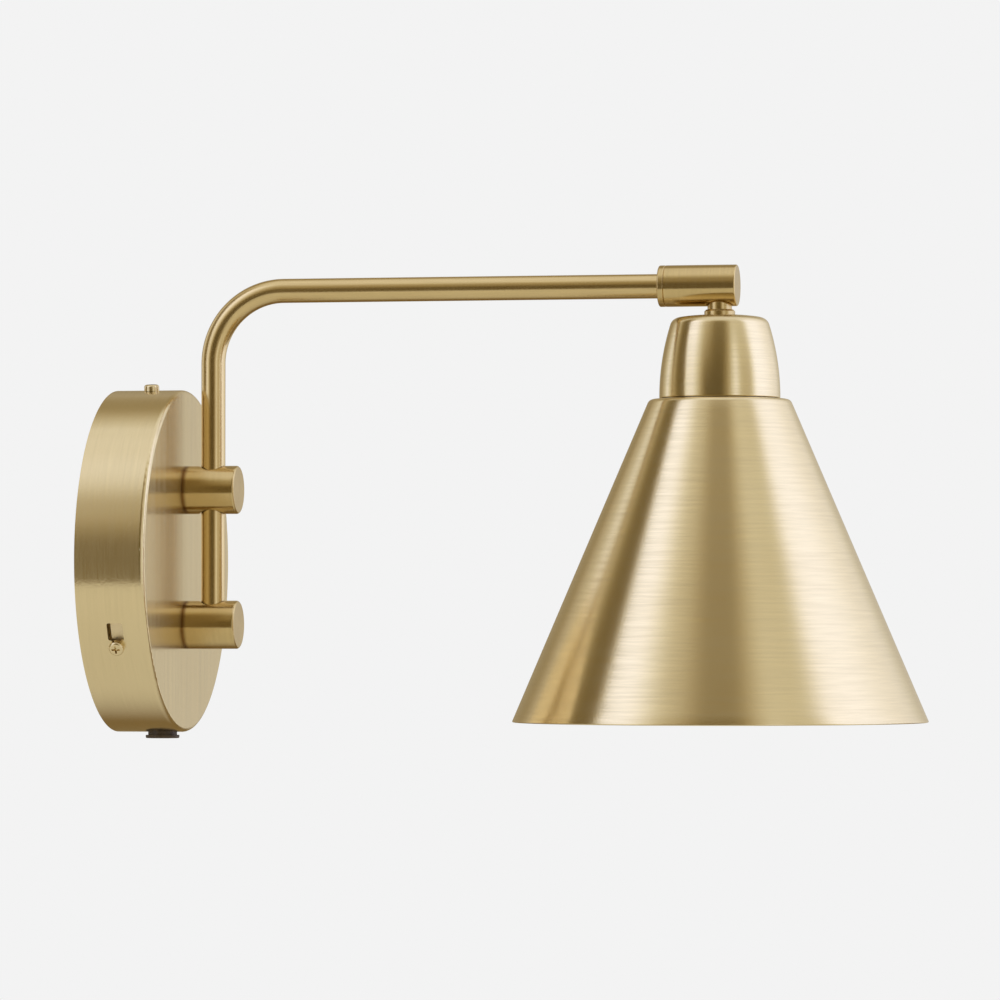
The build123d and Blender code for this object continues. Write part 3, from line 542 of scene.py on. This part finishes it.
class WALLLAMP_OT_fittings(Operator):
    """Finishes the lampholder, the switch and the parts inside the canopy and the posts"""
    bl_idname = "wall_lamp.fittings"
    bl_label = "Lampholder and fittings"

    def execute(self, context):
        tones = context.scene.wall_lamp_colours
        # pressed thermoset: near black, half gloss, with a fine flow texture
        finish_node(plain_finish("black_thermoset_pressed", tuple(tones.thermoset), 0.0, 0.36,
                                 spot_mm=0.5, depth_mm=0.01, ior=1.6),
                    "holder_dome", "holder_skirt", "shade_ring", "switch_body")
        # moulded button: very dark brown with a soft sheen
        finish_node(plain_finish("brown_button_moulded", tuple(tones.button), 0.0, 0.5,
                                 spot_mm=0.35, depth_mm=0.008, ior=1.45),
                    "switch_button")
        # zinc plate: pale, with cloudy yellow passivation
        finish_node(plain_finish("zinc_plated_steel", tuple(tones.zinc), 1.0, 0.45,
                                 spot_mm=0.8, depth_mm=0.012, spread=0.1),
                    "wall_bracket", "stiffener_plate", "upper_boss_bolt", "lead_nipple",
                    "lead_nipple_nut", "earth_washer", "spring_washer")
        # turned brass straight from the lathe: darker and yellower than the lacquered pieces
        finish_node(plain_finish("turned_brass_without_lacquer", tuple(tones.raw_brass), 1.0, 0.32,
                                 spot_mm=0.3, depth_mm=0.008, spread=0.06),
                    "earth_screw", "swivel_bolt", "lock_nut", "lamp_shell", "centre_contact",
                    *["terminal_screw_%s_%d" % (end, i) for end in ("feed", "lamp") for i in (1, 2, 3)])
        # moulded nylon without dye: milky white, half matt
        finish_node(plain_finish("natural_nylon_moulded", tuple(tones.nylon), 0.0, 0.5,
                                 spot_mm=0.4, depth_mm=0.01, spread=0.06, darker=0.94, ior=1.53),
                    "upper_bush", "lower_bush", "thrust_disc", "terminal_block")
        # moulded rubber: matt grey with a dusty skin
        finish_node(plain_finish("grey_rubber_moulded", tuple(tones.rubber), 0.0, 0.72,
                                 spot_mm=0.4, depth_mm=0.02, spread=0.05, darker=0.9, ior=1.52),
                    "cable_grommet")
        return {"FINISHED"}


# ---------------------------------------------------------------- studio
# The camera stands here and looks along the yaw, turned from +X toward +Y, and a little upward.
camera_place = (-2.2184, -0.6022, -0.0286)
camera_yaw, camera_pitch = np.radians(11.236), np.radians(1.352)
camera_lens, camera_sensor = 198.0, 36.0           # millimetres
# Level directions of the studio, seen from the lamp: toward the camera, and toward the picture's right.
toward_camera = np.array([-np.cos(camera_yaw), -np.sin(camera_yaw), 0.0])
picture_right = np.array([np.sin(camera_yaw), -np.cos(camera_yaw), 0.0])
lamp_middle = np.array([0.0, -0.14, 0.02])
tent_radius = 4.0
floor_centre, floor_radius = (0.0, -0.14, -0.34), 1.36
floor_fade = 0.35, 1.25                            # distances over which the floor turns into the ground
shade_depth = 0.34                                 # distance behind the lamp at which its shade is full
room_tint, room_level = (1.0, 0.985, 0.96, 1.0), 0.6      # soft light from all round, a little warm
# name, degrees round from the camera, degrees up, distance, width, height in metres, and level
SOFT_BOXES = (("soft_box_right", 97, 27, 1.5, 1.35, 1.45, 1.25),
              ("soft_box_left", -70, 24, 1.5, 0.66, 1.6, 1.25),
              ("soft_box_above", -10, 62, 2.2, 1.8, 1.2, 1.7))


def studio_way(around, up):
    """Direction at an angle round from the camera, rightward positive, and an angle up, in degrees."""
    a, e = np.radians(around), np.radians(up)
    level = np.multiply.outer(np.cos(a), toward_camera) + np.multiply.outer(np.sin(a), picture_right)
    return level * np.cos(e)[..., None] + np.multiply.outer(np.sin(e), (0, 0, 1.0))


def soft_box(name, around, up, distance, width, height, level):
    """Rectangular light that faces the lamp's middle. Its power is four times its level times its area."""
    light = bpy.data.lights.new(name, "AREA")
    light.shape, light.size, light.size_y = "RECTANGLE", width, height
    light.energy = 4 * level * width * height
    made = bpy.data.objects.new(name, light)
    way = Vector(studio_way(np.float64(around), np.float64(up)))
    made.location = Vector(lamp_middle) + way * distance
    made.rotation_euler = way.to_track_quat("Z", "Y").to_euler()
    made.visible_camera = made.visible_glossy = False
    bpy.context.scene.collection.objects.link(made)


def ramp(value, start, end):
    """0 before start, 1 after end, and a smooth S between them; end may lie before start."""
    k = np.clip((value - start) / (end - start), 0, 1)
    return k * k * (3 - 2 * k)


def bell(value, middle, width):
    """1 at the middle, falling as e to the minus square of the distance over the width."""
    return np.exp(-((value - middle) / width) ** 2)


def toward(level, goal, share):
    """The level, moved by a share of the way to a goal."""
    return level + (goal - level) * share


def tent_glow(around, up):
    """Colour of the tent round the lamp, at degrees round from the camera, rightward positive, and degrees
    up. Each step lays one wall, board or soft box over those before it, with soft edges. Dark places are
    warm, and soft boxes are cool."""
    upper = ramp(up, 10, 35)
    lower = 1 - upper
    # wall behind the camera: dark, paler toward the ceiling, and more so to its left
    level = 0.135 + 0.10 * ramp(up, 6, 36)
    level = level + ramp(around, -7, -36) * (0.33 * ramp(up, 8, 30) + 0.22 * ramp(up, 34, 50))
    # soft box on the left
    level = toward(level, 1.14 + 0.24 * upper, ramp(around + 6 * upper, -25, -58))
    # pale wall on the right, and a narrow strip low on it
    level = toward(level, 0.64 + 0.12 * upper, ramp(around - 7 * upper, 0, 26))
    level = level + 0.45 * bell(around, 30, 8) * ramp(up, 36, 14)
    # broad soft box on the right, which weakens toward the back
    level = toward(level, 1.35 - 0.42 * ramp(around, 84, 150), ramp(around + 3 * upper, 57, 75))
    # dark board beyond the soft box on the left
    level = toward(level, 0.20, ramp(around - 10 * lower, -78, -86))
    # dim room behind the wall light, darker low in its corner and higher up, with a strip on its left
    corner = np.maximum(ramp(around, -135, -152), ramp(around, 164, 178))
    room = 0.60 - 0.22 * ramp(up, 15, 45) - 0.24 * corner * ramp(up, 34, 16)
    behind = np.maximum(ramp(around - 9 * lower, -98, -116), ramp(around, 130, 160))
    level = toward(level, room, behind)
    level = level + 0.45 * bell(around, -122, 9)
    # pale ceiling, a little darker straight above
    ceiling = ramp(up, 40 + 12 * behind, 68 + 10 * behind)
    level = toward(level, 0.96, ceiling * (1 - 0.12 * ramp(up, 72, 88)))
    stops = [0.15, 0.36, 0.75, 1.2, 1.4]
    green = np.interp(level, stops, [0.76, 0.82, 0.98, 1.06, 1.10])
    blue = np.interp(level, stops, [0.36, 0.50, 0.93, 1.42, 1.68])
    return level[..., None] * np.stack([np.ones_like(level), green, blue], -1)


class WALLLAMP_OT_studio(Operator):
    """Makes the pale ground, the floor, the tent, the soft boxes and the camera"""
    bl_idname = "wall_lamp.studio"
    bl_label = "Studio"

    def execute(self, context):
        scene, tones = context.scene, context.scene.wall_lamp_colours
        self.world(scene, tuple(tones.backdrop))
        self.floor(tuple(tones.floor), tuple(tones.floor_shade))
        self.tent()
        for box in SOFT_BOXES:
            soft_box(*box)
        self.camera(scene)
        scene.view_settings.view_transform = "Standard"
        return {"FINISHED"}

    def camera(self, scene):
        """Camera whose axes are the picture's right, its upright and the way back from the lamp."""
        camera = bpy.data.cameras.new("camera")
        camera.lens, camera.sensor_width = camera_lens, camera_sensor
        camera.clip_start, camera.clip_end = 0.1, 50.0
        ahead = np.append(-np.cos(camera_pitch) * toward_camera[:2], np.sin(camera_pitch))
        turned = np.eye(4)
        turned[:3] = np.stack([picture_right, np.cross(picture_right, ahead), -ahead, camera_place], -1)
        eye = bpy.data.objects.new("camera", camera)
        eye.matrix_world = Matrix(turned.tolist())
        scene.collection.objects.link(eye)
        scene.camera = eye

    def world(self, scene, pale):
        """Pale ground for what looks at it, straight or by gloss or glass, and a level soft light for the
        rest."""
        world = bpy.data.worlds.new("studio")
        world.use_nodes = True
        tree = world.node_tree
        tree.nodes.clear()
        path = add(tree, "ShaderNodeLightPath").outputs
        seen = add(tree, "ShaderNodeMath", {0: path["Is Camera Ray"], 1: path["Is Glossy Ray"]},
                   operation="MAXIMUM").outputs[0]
        seen = add(tree, "ShaderNodeMath", {0: seen, 1: path["Is Transmission Ray"]},
                   operation="MAXIMUM").outputs[0]
        soft = add(tree, "ShaderNodeBackground", {"Color": room_tint, "Strength": room_level}).outputs[0]
        ground = add(tree, "ShaderNodeBackground", {"Color": pale, "Strength": 1.0}).outputs[0]
        mixed = add(tree, "ShaderNodeMixShader", {0: seen, 1: soft, 2: ground})
        add(tree, "ShaderNodeOutputWorld", {0: mixed.outputs[0]})
        scene.world = world

    def floor(self, colour, shaded):
        """Matte floor: a round sheet whose point at (share k, angle a) lies k times its radius out. It fades
        into the pale ground toward its rim, and is clear from below."""
        rings, turns = 13, 96
        a = np.linspace(0, 2 * np.pi, turns, endpoint=False)
        out = np.linspace(0, 1, rings)[:, None] * floor_radius
        flat = np.broadcast_arrays(out * np.cos(a), out * np.sin(a), 0.0)
        grid = np.stack(flat, -1) + floor_centre
        material, tree, output = blank("matte_floor_painted")
        where = add(tree, "ShaderNodeTexCoord").outputs["Object"]
        local = add(tree, "ShaderNodeVectorMath", {0: where, 1: floor_centre},
                    operation="SUBTRACT").outputs[0]
        far = add(tree, "ShaderNodeVectorMath", {0: local}, operation="LENGTH").outputs["Value"]
        fade = add(tree, "ShaderNodeMapRange", {0: far, 1: floor_fade[0], 2: floor_fade[1]},
                   interpolation_type="SMOOTHSTEP").outputs[0]
        path = add(tree, "ShaderNodeLightPath").outputs
        fade = add(tree, "ShaderNodeMath", {0: fade, 1: path["Is Camera Ray"]},
                   operation="MULTIPLY").outputs[0]
        under = add(tree, "ShaderNodeNewGeometry").outputs["Backfacing"]
        clear = add(tree, "ShaderNodeMath", {0: fade, 1: under}, operation="MAXIMUM").outputs[0]
        # rolled paint: specks of 3 mm, three percent darker
        speck = add(tree, "ShaderNodeTexNoise", {"Vector": where, "Scale": 1 / (3 * MM),
                                                 "Detail": 3.0}).outputs[0]
        base = add(tree, "ShaderNodeMix", {0: speck, 6: deeper(colour, 0.97), 7: colour},
                   data_type="RGBA").outputs[2]
        # painted shade: behind the wall light the floor is painted darker, as the room's shade, and only the
        # gloss of the brass shows it
        depth = add(tree, "ShaderNodeVectorMath", {0: local, 1: tuple(-toward_camera)},
                    operation="DOT_PRODUCT").outputs["Value"]
        shade = add(tree, "ShaderNodeMapRange", {0: depth, 1: 0.0, 2: shade_depth},
                    interpolation_type="SMOOTHSTEP").outputs[0]
        shade = add(tree, "ShaderNodeMath", {0: shade, 1: path["Is Glossy Ray"]},
                    operation="MULTIPLY").outputs[0]
        base = add(tree, "ShaderNodeMix", {0: shade, 6: base, 7: shaded}, data_type="RGBA").outputs[2]
        matte = add(tree, "ShaderNodeBsdfDiffuse", {"Color": base, "Roughness": 0.5}).outputs[0]
        glass = add(tree, "ShaderNodeBsdfTransparent").outputs[0]
        mixed = add(tree, "ShaderNodeMixShader", {0: clear, 1: matte, 2: glass})
        tree.links.new(mixed.outputs[0], output.inputs[0])
        self.stand("studio_floor", grid[:, ::-1], True, material)

    def tent(self):
        """Tent round the lamp, seen by gloss alone: a ball whose point at the angles (around, up) lies its
        radius out from the lamp's middle, with one point for each degree. It begins a little below level,
        where the floor hides its edge, and closes straight above."""
        around, up = np.meshgrid(np.linspace(-180, 180, 361), np.linspace(-26, 90, 117))
        grid = lamp_middle + tent_radius * studio_way(around, up)
        # lit cloth: it glows as the attribute says
        material, tree, output = blank("tent_cloth_lit")
        lit = add(tree, "ShaderNodeAttribute", attribute_name="glow").outputs["Color"]
        emission = add(tree, "ShaderNodeEmission", {"Color": lit, "Strength": 1.0})
        tree.links.new(emission.outputs[0], output.inputs[0])
        tent = self.stand("studio_tent", grid[:, ::-1], False, material, tent_glow(around, up)[:, ::-1])
        tent.visible_camera = tent.visible_diffuse = tent.visible_shadow = tent.visible_transmission = False

    def stand(self, name, grid, closed, material, glow=None):
        """Makes one stage object of a grid, with its columns closed or not. glow gives each point a
        colour."""
        mesh = bpy.data.meshes.new(name)
        mesh.from_pydata(grid.reshape(-1, 3), [], weave(*grid.shape[:2], closed))
        if glow is not None:
            layer = mesh.attributes.new("glow", "FLOAT_COLOR", "POINT")
            rgba = np.concatenate([glow, np.ones_like(glow[..., :1])], -1)
            layer.data.foreach_set("color", rgba.astype(np.float32).ravel())
        weld(mesh)
        mesh.shade_smooth()
        mesh.materials.append(material)
        made = bpy.data.objects.new(name, mesh)
        bpy.context.scene.collection.objects.link(made)
        return made


class WALLLAMP_PT_panel(Panel):
    """Lists the lamp's sizes, colours and pieces"""
    bl_label = "Wall Lamp"
    bl_idname = "WALLLAMP_PT_panel"
    bl_space_type = "VIEW_3D"
    bl_region_type = "UI"
    bl_category = "Wall Lamp"

    def draw(self, context):
        for group in (context.scene.wall_lamp_sizes, context.scene.wall_lamp_colours):
            box = self.layout.box()
            for key in group.__annotations__:
                box.prop(group, key)
        for step in STEPS:
            self.layout.operator(step.bl_idname)


STEPS = (WALLLAMP_OT_canopy, WALLLAMP_OT_posts, WALLLAMP_OT_arm, WALLLAMP_OT_knuckle, WALLLAMP_OT_shade,
         WALLLAMP_OT_fittings, WALLLAMP_OT_studio)
CLASSES = (WallLampSizes, WallLampColours, *STEPS, WALLLAMP_PT_panel)


def register():
    for item in CLASSES:
        bpy.utils.register_class(item)
    bpy.types.Scene.wall_lamp_sizes = PointerProperty(type=WallLampSizes)
    bpy.types.Scene.wall_lamp_colours = PointerProperty(type=WallLampColours)


def unregister():
    del bpy.types.Scene.wall_lamp_colours
    del bpy.types.Scene.wall_lamp_sizes
    for item in reversed(CLASSES):
        bpy.utils.unregister_class(item)


def main():
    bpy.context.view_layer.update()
    register()
    for step in STEPS:
        group, name = step.bl_idname.split(".")
        getattr(getattr(bpy.ops, group), name)()


if __name__ == "__main__":
    main()
